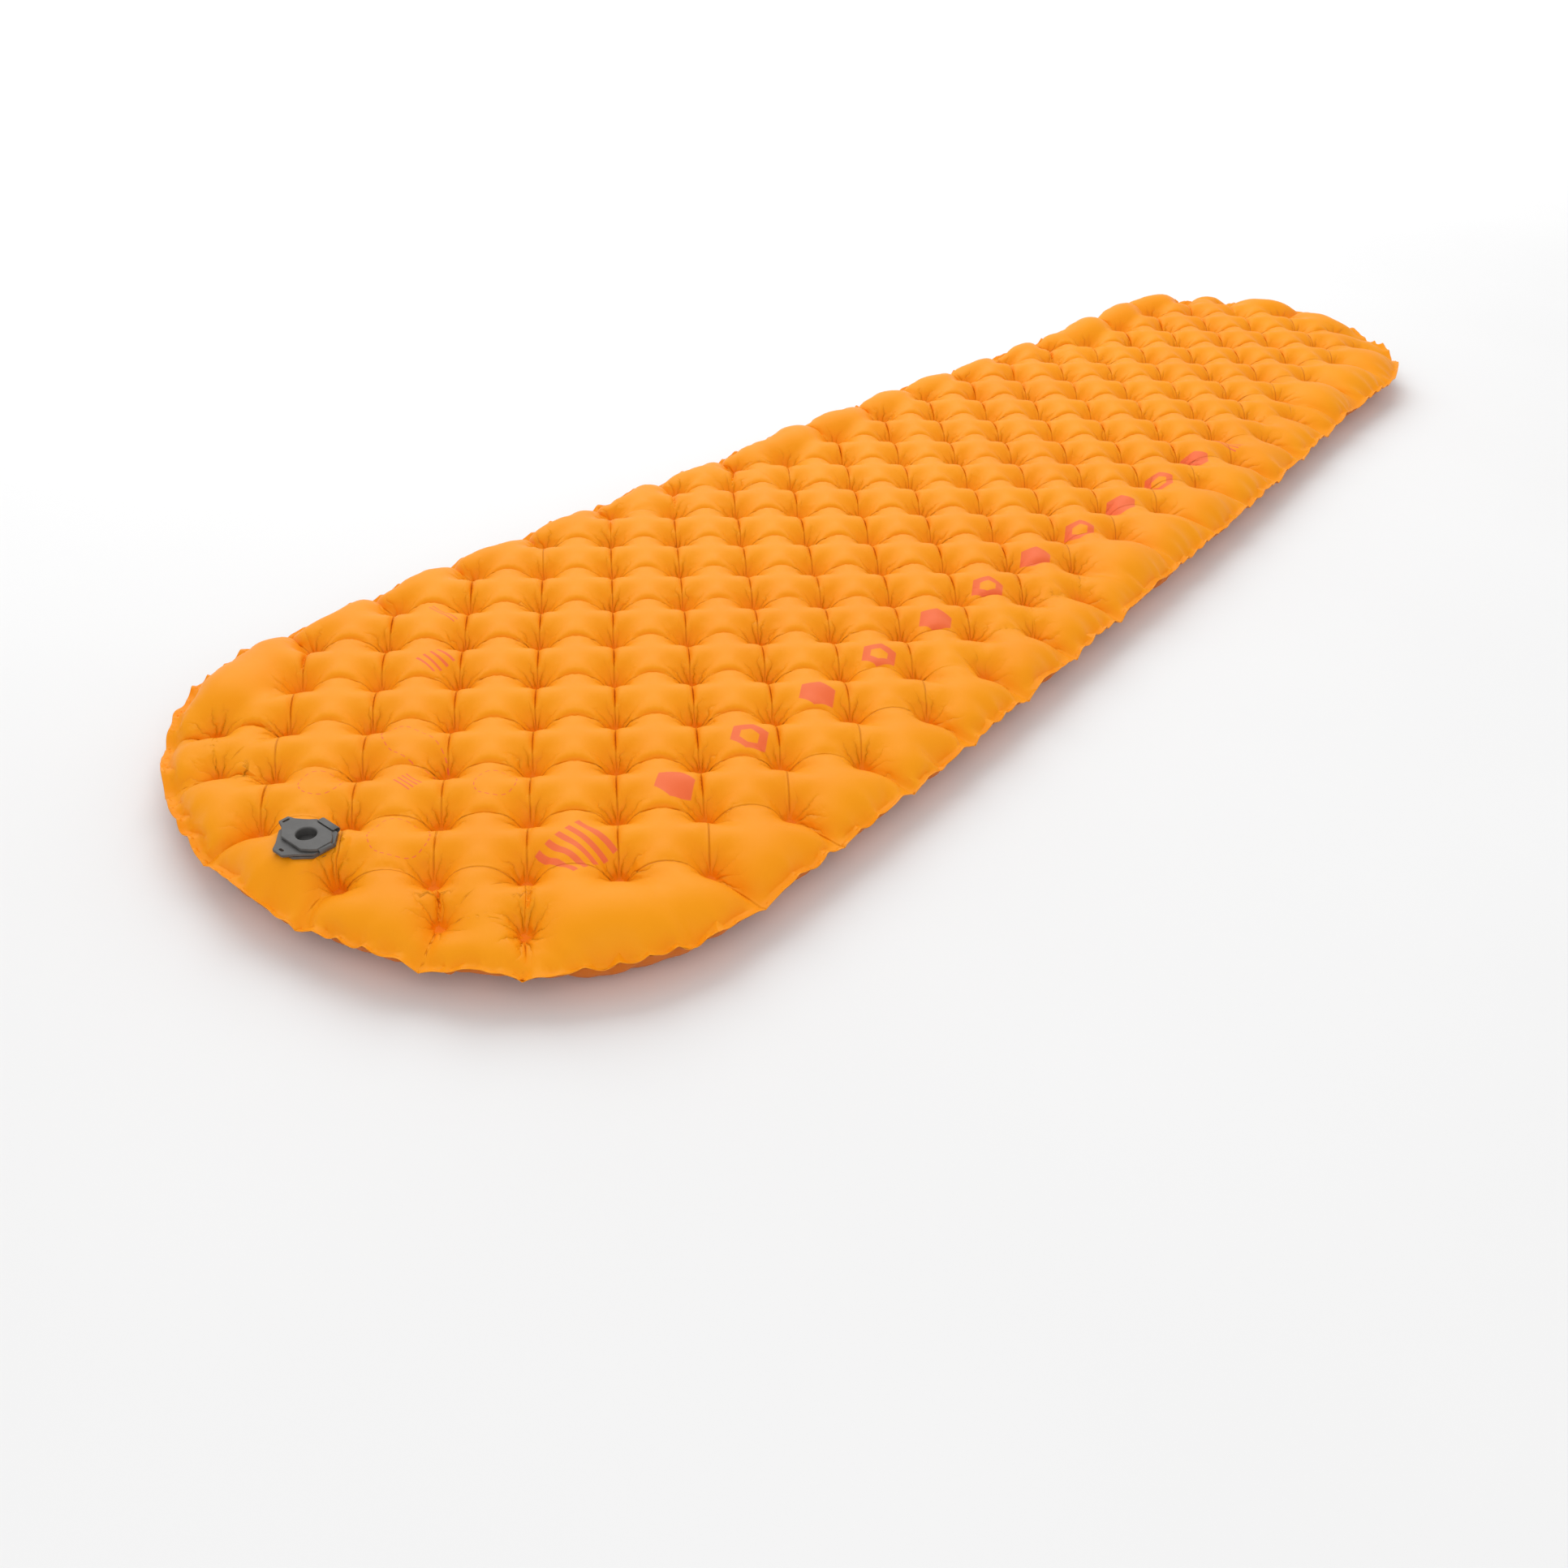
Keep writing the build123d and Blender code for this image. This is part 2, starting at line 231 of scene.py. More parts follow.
# ---- Cloth solver ----
class Cloth:
    """Both sheets on one grid. Arrays are indexed by axis, sheet (top, bottom), row and column."""

    def __init__(self, divisions):
        self.step = HALF_DIAGONAL / divisions
        columns = math.ceil(PAD_HIGH[0] / self.step) + 1
        rows = [math.ceil((edge - LATTICE_Y) / self.step) for edge in (PAD_LOW[1], PAD_HIGH[1])]
        self.x = np.arange(-columns, columns + 1) * self.step
        self.y = LATTICE_Y + np.arange(rows[0] - 2, rows[1] + 2) * self.step
        self.origin = (2 - rows[0], columns)  # row and column of the dot on the middle line
        flat = np.stack(np.meshgrid(self.x, self.y), -1)
        self.shape = flat.shape[:2]
        inside, arc = OUTLINE.locate(flat.reshape(-1, 2))
        on_edge = np.abs(inside) < self.step / 2
        flat.reshape(-1, 2)[on_edge] = OUTLINE.at(arc[on_edge])[0]
        inside[on_edge] = 0
        self.flat, self.inside, self.arc = flat, inside.reshape(self.shape), arc.reshape(self.shape)
        self.used = self.inside >= 0
        self.seam = self.used & (self.inside < FLANGE)
        self.to_dot = self.nearest_dot()
        reach = np.hypot(self.to_dot[..., 0], self.to_dot[..., 1])
        least = 1.05 * self.step  # a dot holds at least the places next to its middle
        self.dot = self.used & (reach < max(DOT_RADIUS, least))
        self.port = np.hypot(flat[..., 0] - PORT[0], flat[..., 1] - PORT[1]) < PORT_RADIUS
        slope_y, slope_x = np.gradient(self.inside, self.step)
        self.inward = np.stack([slope_x, slope_y], -1)
        self.inward /= np.linalg.norm(self.inward, axis=-1, keepdims=True) + 1e-9

    def nearest_dot(self):
        """Each place's offset from the dot nearest it."""
        offset = np.full((*self.shape, 2), FAR_AWAY)
        for dot in DOTS:
            rows = slice(*np.searchsorted(self.y, (dot[1] - DOT_SEARCH, dot[1] + DOT_SEARCH)))
            columns = slice(*np.searchsorted(self.x, (dot[0] - DOT_SEARCH, dot[0] + DOT_SEARCH)))
            here = self.flat[rows, columns] - dot
            nearer = (here**2).sum(-1) < (offset[rows, columns] ** 2).sum(-1)
            offset[rows, columns][nearer] = here[nearer]
        return offset

    def springs(self):
        """Index ranges, rest lengths and stiffness for each direction of spring."""
        made = []
        rows, columns = self.shape
        for across, up in ((1, 0), (0, 1), (1, 1), (1, -1), (2, 0), (0, 2), (2, 2), (2, -2)):
            far, slanted = max(abs(across), abs(up)) == 2, across != 0 and up != 0
            row_a = slice(max(0, -up), rows - max(0, up))
            row_b = slice(max(0, up), rows - max(0, -up))
            one, two = (row_a, slice(0, columns - across)), (row_b, slice(across, columns))
            inward = self.inward[one] + self.inward[two]
            inward /= np.linalg.norm(inward, axis=-1, keepdims=True) + 1e-9
            inside = (self.inside[one] + self.inside[two]) / 2
            deep = np.clip((inside - EDGE_BAND[0]) / (EDGE_BAND[1] - EDGE_BAND[0]), 0, 1)
            deep = deep * deep * (3 - 2 * deep)
            flange = inside < FLANGE + FLANGE_MARGIN * self.step
            near_notch = notch(self.arc[one], NOTCH_REACH).max(-1)
            edge_slack = np.array(EDGE_SLACK)[:, None, None] * (1 - near_notch)
            edge_slack = edge_slack + NOTCH_SLACK * near_notch
            middle = (self.flat[one] + self.flat[two]) / 2
            vary = np.sin(middle[..., 0] * SLACK_WAVES[0] + 1)
            vary = vary * np.sin(middle[..., 1] * SLACK_WAVES[1] + 2)
            slack = SLACK * (1 + SLACK_VARIATION * vary)
            span = self.flat[two] - self.flat[one]
            normal_part = (span * inward).sum(-1)
            along_part = span[..., 0] * inward[..., 1] - span[..., 1] * inward[..., 0]
            normal_part = normal_part * np.where(flange, 1, 1 + edge_slack * (1 - deep) + slack * deep)
            along_part *= 1 + EDGE_GATHER * (1 - deep) + slack * deep
            rest = np.hypot(normal_part, along_part).astype(np.float32)
            live = (self.used[one] & self.used[two]).astype(np.float32)
            pull = 0.0 if far else BIAS if slanted else 1.0
            push = BEND * (DIAGONAL_BEND if slanted else 1) if far else PUSH
            push = np.where(flange, FLANGE_PUSH, push).astype(np.float32)
            made.append((one, two, rest, live, pull, push))
        return made

    def start(self):
        """First guess: a pillow between the dots, with a trace of unevenness."""
        fullness, pit, rim, trace = 0.95, 0.017, 0.03, 0.00015
        reach = np.hypot(self.to_dot[..., 0], self.to_dot[..., 1])
        rise = np.clip((self.inside - FLANGE) / rim, 0, 1)
        height = fullness * MIDDLE * (1 - np.exp(-((reach / pit) ** 2))) * np.sqrt(1 - (1 - rise) ** 2)
        uneven = np.random.default_rng(3).normal(0, trace, (2, *self.shape))
        place = np.zeros((3, 2, *self.shape), np.float32)
        place[0], place[1] = self.flat[..., 0], self.flat[..., 1]
        place[2] = MIDDLE + np.array([1, -1])[:, None, None] * height + uneven
        return place

    def refined(self, coarse, place):
        """A coarser grid's result carried over to this grid."""
        column = (self.x - coarse.x[0]) / coarse.step
        row = (self.y - coarse.y[0]) / coarse.step
        left = np.clip(np.floor(column).astype(int), 0, coarse.shape[1] - 2)
        low = np.clip(np.floor(row).astype(int), 0, coarse.shape[0] - 2)
        moved = place.astype(float)
        moved[0] -= coarse.flat[..., 0]
        moved[1] -= coarse.flat[..., 1]
        total, weights = 0, 0
        for up, share_up in ((0, 1 - (row - low)), (1, row - low)):
            for across, share_across in ((0, 1 - (column - left)), (1, column - left)):
                part = np.ix_(low + up, left + across)
                weight = np.clip(share_up, 0, 1)[:, None] * np.clip(share_across, 0, 1)[None]
                weight = weight * (coarse.used[part] + 1e-6)
                total = total + moved[:, :, part[0], part[1]] * weight
                weights = weights + weight
        total = total / weights
        total[0] += self.flat[..., 0]
        total[1] += self.flat[..., 1]
        return total.astype(np.float32)

    def settle(self, place, steps):
        """Lets the sheets move under pressure until they are nearly still."""
        springs = self.springs()
        seam = seam_shape(self.arc[self.seam], self.inside[self.seam]).astype(np.float32)
        dots = self.flat[self.dot]
        port = self.flat[self.port]
        used = self.used.astype(np.float32)
        outwards = np.array([1, -1], np.float32)[:, None, None] * used * PRESSURE
        speed = np.zeros_like(place)
        for _ in range(steps):
            right, forward = np.zeros_like(place), np.zeros_like(place)
            right[..., 1:-1] = (place[..., 2:] - place[..., :-2]) / 2
            forward[..., 1:-1, :] = (place[..., 2:, :] - place[..., :-2, :]) / 2
            force = np.cross(right, forward, axis=0) * outwards
            for one, two, rest, live, pull, push in springs:
                span = place[:, :, two[0], two[1]] - place[:, :, one[0], one[1]]
                length = np.sqrt((span * span).sum(0)) + 1e-9
                over = length - rest
                span *= np.where(over > 0, pull, push) * over / length * live
                force[:, :, one[0], one[1]] += span
                force[:, :, two[0], two[1]] -= span
            speed = (speed + force * np.float32(GAIN)) * np.float32(DAMPING)
            place = place + speed * used
            for sheet in (0, 1):
                place[:, sheet][:, self.seam] = seam.T
                place[:2, sheet][:, self.dot] = dots.T
                place[2, sheet][self.dot] = MIDDLE
                speed[:, sheet][:, self.seam | self.dot] = 0
            place[:2, 0][:, self.port] = port.T
            place[2, 0][self.port] += (THICKNESS - FABRIC / 2 - place[2, 0][self.port]) * PORT_PULL
            speed[:, 0][:, self.port] = 0
            under = place[2] < FABRIC / 2
            place[2][under] = FABRIC / 2
            speed[2][under] = 0
        return place


def inflate():
    """Coarse grid first, then the fine grid that the visible sheets are made from."""
    coarse = Cloth(COARSE)
    place = coarse.settle(coarse.start(), COARSE_STEPS)
    fine = Cloth(FINE)
    place = fine.refined(coarse, place)
    return fine, fine.settle(place, FINE_STEPS)


# ---- Material helpers ----
class Paint:
    """A material's node tree with short calls for the nodes used here."""

    def __init__(self, name):
        self.material = bpy.data.materials.new(name)
        self.material.use_nodes = True
        self.tree = self.material.node_tree
        self.shader = self.tree.nodes["Principled BSDF"]
        self.place = self.node("TexCoord").outputs["Object"]

    def node(self, kind, inputs=None, **settings):
        made = self.tree.nodes.new("ShaderNode" + kind)
        for key, value in settings.items():
            setattr(made, key, value)
        for key, value in (inputs or {}).items():
            self.feed(made.inputs[key], value)
        return made

    def feed(self, socket, value):
        if isinstance(value, bpy.types.NodeSocket):
            self.tree.links.new(value, socket)
        else:
            socket.default_value = value

    def math(self, operation, *values, clamp=False):
        made = self.node("Math", dict(enumerate(values)), operation=operation, use_clamp=clamp)
        return made.outputs[0]

    def span(self, value, low, high, start=0.0, end=1.0):
        """Value between low and high carried to between start and end, smoothly and no further."""
        inputs = {"Value": value, "From Min": low, "From Max": high, "To Min": start, "To Max": end}
        return self.node("MapRange", inputs, interpolation_type="SMOOTHSTEP").outputs["Result"]

    def noise(self, scale, detail=3.0, roughness=0.5):
        inputs = {"Vector": self.place, "Scale": scale, "Detail": detail, "Roughness": roughness}
        return self.node("TexNoise", inputs).outputs["Fac"]

    def mix(self, share, one, two):
        """From colour one to colour two."""
        made = self.node("Mix", {0: share, 6: one, 7: two}, data_type="RGBA")
        return made.outputs[2]

    def attribute(self, name):
        return self.node("Attribute", attribute_name=name)

    def bump(self, height, strength, distance, normal=None):
        inputs = {"Height": height, "Strength": strength, "Distance": distance}
        if normal is not None:
            inputs["Normal"] = normal
        return self.node("Bump", inputs).outputs["Normal"]

    def set(self, **values):
        """Shader sockets by name, with _ for a space."""
        for key, value in values.items():
            self.feed(self.shader.inputs[key.replace("_", " ")], value)


def weave(paint, pitch):
    """Height of a plain weave with this yarn pitch, from -1 to 1."""
    parts = paint.node("SeparateXYZ", {"Vector": paint.place}).outputs
    turn = 2 * math.pi / pitch
    warp = paint.math("SINE", paint.math("MULTIPLY", parts["X"], turn))
    weft = paint.math("SINE", paint.math("MULTIPLY", parts["Y"], turn))
    return paint.math("MULTIPLY", warp, weft)


# ---- Printed marks: plain geometric shapes on the top sheet ----
ROW_X = 0.153
ROW_START, ROW_PITCH, ROW_COUNT = -0.633, 0.0894, 11
MARK_SIZE, HOLE_SIZE = 0.0145, 0.0075  # half of a hexagon's width, and of its hole's
BAR_BLOCKS = [  # middle, size, number of bars, share of the block that is printed
    ((0.153, -0.736), (0.040, 0.050), 5, 0.50),
    ((-0.125, -0.635), (0.022, 0.030), 4, 0.35),
    ((-0.182, -0.577), (0.034, 0.008), 2, 0.30),
    ((0.002, -0.769), (0.018, 0.016), 4, 0.35),
    ((0.164, 0.324), (0.030, 0.026), 4, 0.35),
]
DASHED_RINGS = [  # middle, radii, number of dashes
    ((-0.035, -0.732), (0.034, 0.016), 26),
    ((-0.046, -0.812), (0.015, 0.017), 16),
    ((0.051, -0.724), (0.015, 0.017), 16),
    ((0.050, -0.816), (0.022, 0.022), 24),
]
RING_LINE, RING_BLUR = 0.0004, 0.0002
BAR_BLUR = 0.05  # of a bar's long edges, as a share of the pitch
GAP_LEVEL = -0.2  # the dashes are where a sine round the ring is over this


def soft_step(paint, value, edge, blur=0.0005):
    """1 where value is under edge."""
    return paint.span(value, edge - blur, edge + blur, 1.0, 0.0)


def hexagon(paint, x, y):
    """Distance of a point from a hexagon's middle, measured across its flats."""
    sine, cosine = 0.866, 0.5  # of 60 degrees
    x, y = paint.math("ABSOLUTE", x), paint.math("ABSOLUTE", y)
    slanted = paint.math("ADD", paint.math("MULTIPLY", x, sine), paint.math("MULTIPLY", y, cosine))
    return paint.math("MAXIMUM", slanted, y)


def row_marks(paint, x, y):
    """A row of solid and ring-shaped hexagons down one side."""
    along = paint.math("DIVIDE", paint.math("SUBTRACT", y, ROW_START), ROW_PITCH)
    nearest = paint.math("ROUND", along)
    nearest = paint.math("MINIMUM", paint.math("MAXIMUM", nearest, 0.0), ROW_COUNT - 1.0)
    off = paint.math("MULTIPLY", paint.math("SUBTRACT", along, nearest), ROW_PITCH)
    gap = hexagon(paint, paint.math("SUBTRACT", x, ROW_X), off)
    solid = soft_step(paint, gap, MARK_SIZE)
    hole = soft_step(paint, gap, HOLE_SIZE)
    hollow = paint.math("MODULO", nearest, 2.0)
    return paint.math("SUBTRACT", solid, paint.math("MULTIPLY", hole, hollow))


def bars(paint, x, y, centre, size, count, share):
    """A block of parallel bars along X, of this size, the bars taking that share of it."""
    start = 10.5  # keeps the phase above zero
    x = paint.math("ABSOLUTE", paint.math("SUBTRACT", x, centre[0]))
    y = paint.math("SUBTRACT", y, centre[1])
    phase = paint.math("FRACT", paint.math("MULTIPLY_ADD", y, count / size[1], start))
    bar = soft_step(paint, phase, share, BAR_BLUR)
    bar = paint.math("MULTIPLY", bar, soft_step(paint, x, size[0] / 2))
    return paint.math("MULTIPLY", bar, soft_step(paint, paint.math("ABSOLUTE", y), size[1] / 2))


def dashed_ring(paint, x, y, centre, radii, dashes):
    """A thin dashed ellipse."""
    x = paint.math("DIVIDE", paint.math("SUBTRACT", x, centre[0]), radii[0])
    y = paint.math("DIVIDE", paint.math("SUBTRACT", y, centre[1]), radii[1])
    squares = [paint.math("POWER", paint.math("ABSOLUTE", side), 2.0) for side in (x, y)]
    reach = paint.math("SQRT", paint.math("ADD", *squares))
    off = paint.math("ABSOLUTE", paint.math("SUBTRACT", reach, 1.0))
    line = soft_step(paint, paint.math("MULTIPLY", off, min(radii)), RING_LINE, RING_BLUR)
    turn = paint.math("MULTIPLY", paint.math("ARCTAN2", y, x), float(dashes))
    return paint.math("MULTIPLY", line, paint.math("GREATER_THAN", paint.math("SINE", turn), GAP_LEVEL))


def printed(paint):
    """Where the top sheet is printed, from 0 to 1."""
    parts = paint.node("SeparateXYZ", {"Vector": paint.place}).outputs
    x, y = parts["X"], parts["Y"]
    total = row_marks(paint, x, y)
    marks = [bars(paint, x, y, *block) for block in BAR_BLOCKS]
    marks += [dashed_ring(paint, x, y, *ring) for ring in DASHED_RINGS]
    for mark in marks:
        total = paint.math("MAXIMUM", total, mark)
    return total


# ---- Materials ----
ORANGE, DEEP_ORANGE = (0.93, 0.325, 0.004, 1), (0.90, 0.235, 0.003, 1)
# The bottom sheet's colours are darker, browner copies of the top's: painted shade for the underside.
SHADED_BOTTOM_ORANGE, SHADED_DEEP_BOTTOM = (0.60, 0.145, 0.008, 1), (0.48, 0.085, 0.005, 1)
# Painted shade: the dark colour of the thin line along each crease between dots.
CREASE_SHADE_COLOUR = (0.50, 0.07, 0.002, 1)
CORAL = (0.86, 0.13, 0.055, 1)
PRINT_SHARE, CREASE_SHADE_SHARE, PIT_SHADE_SHARE = 0.85, 0.6, 0.6  # how strongly the print, the painted crease shade and the painted pit shade show
YARN_PITCH, YARN_HEIGHT = 0.0007, 0.00006
CREASE_SHADE_WIDTH = (0.0003, 0.0008)  # of the painted shade line along each crease between dots, thinnest and widest
CREASE_START = (0.005, 0.011)  # distances from a dot over which that painted shade line and the groove appear
GROOVE_WIDTH, GROOVE_DEPTH = 0.0013, 0.0008
PIT_SHADE_SIZE = (0.003, 0.014)  # distances from a dot over which the painted pit shade, a redder colour, fades
PLEAT_START, PLEAT_END = (0.004, 0.009), (0.016, 0.031)  # where the pleats round a dot come and go
PLEATS, PLEAT_HEIGHT = 10, 0.0019  # their number round each dot
PLEAT_SWIRL, PLEAT_SHARPNESS = 5.0, 0.6
CRINKLE_HEIGHT = 0.0006


def crease_shade_line(paint, link, uneven, away):
    """Share of the painted crease shade: a thin dark line of uneven width from dot to dot, where shade
    falls in the fold.
    """
    width = paint.span(uneven, 0.3, 0.7, *CREASE_SHADE_WIDTH)
    line = paint.math("SUBTRACT", 1.0, paint.math("DIVIDE", link, width), clamp=True)
    return paint.math("MULTIPLY", paint.math("MULTIPLY", line, away), CREASE_SHADE_SHARE)


def pleats(paint, reach, angle, uneven):
    """Height of the short folds that run out from each dot, stronger in some places than in others."""
    swirl = paint.math("MULTIPLY_ADD", uneven, PLEAT_SWIRL, paint.math("MULTIPLY", angle, PLEATS / 2))
    folds = paint.math("POWER", paint.math("ABSOLUTE", paint.math("SINE", swirl)), PLEAT_SHARPNESS)
    share = paint.math("MULTIPLY", paint.span(reach, *PLEAT_START), paint.span(reach, *PLEAT_END, 1.0, 0.0))
    strength = paint.span(paint.noise(35.0, 1.0), 0.35, 0.65, 0.25, 1.0)
    return paint.math("MULTIPLY", folds, paint.math("MULTIPLY", share, strength))


def nylon(name, base, deep, marks):
    """Coated nylon: satin, finely woven, creased along the dot lattice, with painted shade: redder in the
    pits and a dark line along each crease.
    """
    paint = Paint(name)
    dot = paint.attribute("from_dot").outputs["Vector"]
    link = paint.attribute("link").outputs["Fac"]
    parts = paint.node("SeparateXYZ", {"Vector": dot}).outputs
    reach = parts["Z"]
    angle = paint.math("ARCTAN2", parts["Y"], parts["X"])
    uneven = paint.noise(60.0, 3.0)
    away = paint.span(reach, *CREASE_START)
    tone = paint.span(paint.noise(9.0, 2.0), 0.35, 0.75, 0.0, 0.22)
    colour = paint.mix(tone, base, deep)
    # Painted shade: the colour turns redder and darker in the pit round each dot.
    colour = paint.mix(paint.span(reach, *PIT_SHADE_SIZE, PIT_SHADE_SHARE, 0.0), colour, deep)
    # Painted shade: a thin dark line along each crease between dots.
    colour = paint.mix(crease_shade_line(paint, link, uneven, away), colour, CREASE_SHADE_COLOUR)
    if marks:
        colour = paint.mix(paint.math("MULTIPLY", printed(paint), PRINT_SHARE), colour, CORAL)
    groove = paint.math("SUBTRACT", paint.span(link, 0.0, GROOVE_WIDTH), 1.0)
    normal = paint.bump(pleats(paint, reach, angle, uneven), 0.8, PLEAT_HEIGHT)
    normal = paint.bump(paint.math("MULTIPLY", groove, away), 0.8, GROOVE_DEPTH, normal)
    normal = paint.bump(paint.noise(140.0, 4.0, 0.6), 0.25, CRINKLE_HEIGHT, normal)
    normal = paint.bump(weave(paint, YARN_PITCH), 0.10, YARN_HEIGHT, normal)
    rough = paint.math("MULTIPLY_ADD", paint.noise(220.0, 3.0), 0.12, 0.42)
    paint.set(Base_Color=colour, Roughness=rough, Normal=normal, Specular_IOR_Level=0.13)
    paint.set(Sheen_Weight=0.10, Sheen_Roughness=0.4, Sheen_Tint=(0.95, 0.35, 0.03, 1))
    return paint.material


def weld_film_material():
    """Melted coating: glossier and lighter than the fabric, with a pressed grid."""
    paint = Paint("weld_film")
    grid = weave(paint, 0.0016)
    tone = paint.noise(120.0, 3.0)
    colour = paint.mix(tone, (0.95, 0.36, 0.01, 1), (0.92, 0.30, 0.008, 1))
    normal = paint.bump(grid, 0.5, 0.0001)
    rough = paint.math("MULTIPLY_ADD", tone, 0.2, 0.28)
    paint.set(Base_Color=colour, Roughness=rough, Normal=normal, Specular_IOR_Level=0.2)
    return paint.material


def spot_material():
    """The welded spots: the fabric's own colour, pressed flat and a little redder."""
    paint = Paint("weld_spots")
    tone = paint.noise(300.0, 3.0)
    colour = paint.mix(tone, (0.90, 0.24, 0.003, 1), (0.86, 0.19, 0.003, 1))
    normal = paint.bump(weave(paint, 0.0012), 0.4, 0.0001)
    rough = paint.math("MULTIPLY_ADD", tone, 0.15, 0.45)
    paint.set(Base_Color=colour, Roughness=rough, Normal=normal, Specular_IOR_Level=0.12)
    return paint.material


def moulded(name, base, light, roughness):
    """Moulded soft plastic: fine spark grain, slightly chalky on its high spots."""
    paint = Paint(name)
    grain = paint.noise(2600.0, 2.0, 0.7)
    cloud = paint.noise(90.0, 4.0)
    colour = paint.mix(paint.span(cloud, 0.35, 0.8, 0.0, 0.6), base, light)
    colour = paint.mix(paint.span(grain, 0.55, 0.8, 0.0, 0.35), colour, light)
    normal = paint.bump(grain, 0.35, 0.00012)
    normal = paint.bump(cloud, 0.15, 0.0004, normal)
    rough = paint.math("MULTIPLY_ADD", cloud, 0.16, roughness)
    paint.set(Base_Color=colour, Roughness=rough, Normal=normal, Specular_IOR_Level=0.45)
    return paint.material


def batt_material():
    """White fibre batt."""
    paint = Paint("insulation")
    fibre = paint.noise(900.0, 5.0, 0.7)
    colour = paint.mix(fibre, (0.62, 0.62, 0.60, 1), (0.85, 0.85, 0.83, 1))
    rough = paint.math("MULTIPLY_ADD", fibre, 0.1, 0.85)
    normal = paint.bump(fibre, 0.9, 0.0008)
    paint.set(Base_Color=colour, Roughness=rough, Normal=normal, Sheen_Weight=0.3)
    return paint.material


def foil_material():
    """Crinkled metallised film."""
    paint = Paint("reflective_film")
    fold = paint.noise(70.0, 5.0, 0.65)
    colour = paint.mix(fold, (0.78, 0.78, 0.80, 1), (0.90, 0.90, 0.92, 1))
    rough = paint.math("MULTIPLY_ADD", fold, 0.2, 0.15)
    normal = paint.bump(fold, 0.7, 0.001)
    paint.set(Base_Color=colour, Roughness=rough, Normal=normal, Metallic=0.9)
    return paint.material


# ---- Mesh helpers ----
CREASE_ANGLE, HARD_ANGLE, STRAP_ANGLE = (math.radians(turn) for turn in (38, 35, 50))


def new_object(name, vertices, faces, material, smooth=True):
    """An object with this mesh. Faces are rows of an array, or lists of any length."""
    mesh = bpy.data.meshes.new(name)
    faces = faces.tolist() if isinstance(faces, np.ndarray) else faces
    mesh.from_pydata(np.asarray(vertices).tolist(), [], faces)
    mesh.polygons.foreach_set("use_smooth", [smooth] * len(mesh.polygons))
    mesh.update()
    mesh.materials.append(material)
    made = bpy.data.objects.new(name, mesh)
    bpy.context.collection.objects.link(made)
    return made


def store(made, name, kind, values):
    """Keeps a value for each vertex, for the material to read."""
    field = "vector" if kind == "FLOAT_VECTOR" else "value"
    layer = made.data.attributes.new(name, kind, "POINT")
    layer.data.foreach_set(field, np.asarray(values, np.float32).ravel())


def grid_normals(place):
    """Upward unit normals of a sheet given as (3, rows, columns)."""
    right, forward = np.gradient(place, axis=2), np.gradient(place, axis=1)
    normal = np.cross(right, forward, axis=0)
    return normal / (np.linalg.norm(normal, axis=0) + 1e-12)


def grid_faces(used, origin, upwards):
    """Triangles whose diagonals run through the dots, so that the creases between dots are edges.

    a, b, c and d are each square's corners, counter-clockwise from the one with the lowest X and Y."""
    index = np.full(used.shape, -1)
    index[used] = np.arange(used.sum())
    a, b, c, d = index[:-1, :-1], index[:-1, 1:], index[1:, 1:], index[1:, :-1]
    row, column = np.indices(a.shape)
    even = (row - origin[0] + column - origin[1]) % 2 == 0
    whole = (a >= 0) & (b >= 0) & (c >= 0) & (d >= 0)
    picks = [(whole & even, three) for three in ((a, b, c), (a, c, d))]
    picks += [(whole & ~even, three) for three in ((a, b, d), (b, c, d))]
    for three, missing in (((b, c, d), a), ((a, c, d), b), ((a, b, d), c), ((a, b, c), d)):
        ends = (three[0] >= 0) & (three[1] >= 0) & (three[2] >= 0) & (missing < 0)
        picks.append((ends, three))
    faces = np.vstack([np.stack([corner[mask] for corner in three], -1) for mask, three in picks])
    return faces if upwards else faces[:, ::-1]


# ---- Fabric pieces ----
NEIGHBOURS = 0.076  # dots nearer each other than this have a fold between them
EDGE_FOLD = 0.045  # and a dot nearer the edge than this has one to the edge
FOLD_MARGIN = 0.012  # how far from a fold line its distance is worked out
NO_FOLD = 0.02  # the distance stored farther away than that


def fold_lines():
    """Ends of the fold lines between neighbouring dots, and from a dot near the edge to the edge."""
    lines = []
    for i, one in enumerate(DOTS):
        lines += [(one, two) for two in DOTS[i + 1 :] if np.hypot(*(one - two)) < NEIGHBOURS]
    close = DOT_INSIDE < EDGE_FOLD
    return lines + list(zip(DOTS[close], OUTLINE.at(DOT_ARC[close])[0]))


def link_distance(cloth):
    """Each place's distance from the nearest fold line."""
    found = np.full(cloth.shape, NO_FOLD)
    for one, two in fold_lines():
        low, high = np.minimum(one, two) - FOLD_MARGIN, np.maximum(one, two) + FOLD_MARGIN
        rows = slice(*np.searchsorted(cloth.y, (low[1], high[1])))
        columns = slice(*np.searchsorted(cloth.x, (low[0], high[0])))
        span = two - one
        off = cloth.flat[rows, columns] - one
        share = np.clip((off @ span) / (span @ span), 0, 1)
        gap = np.linalg.norm(off - share[..., None] * span, axis=-1)
        found[rows, columns] = np.minimum(found[rows, columns], gap)
    return found


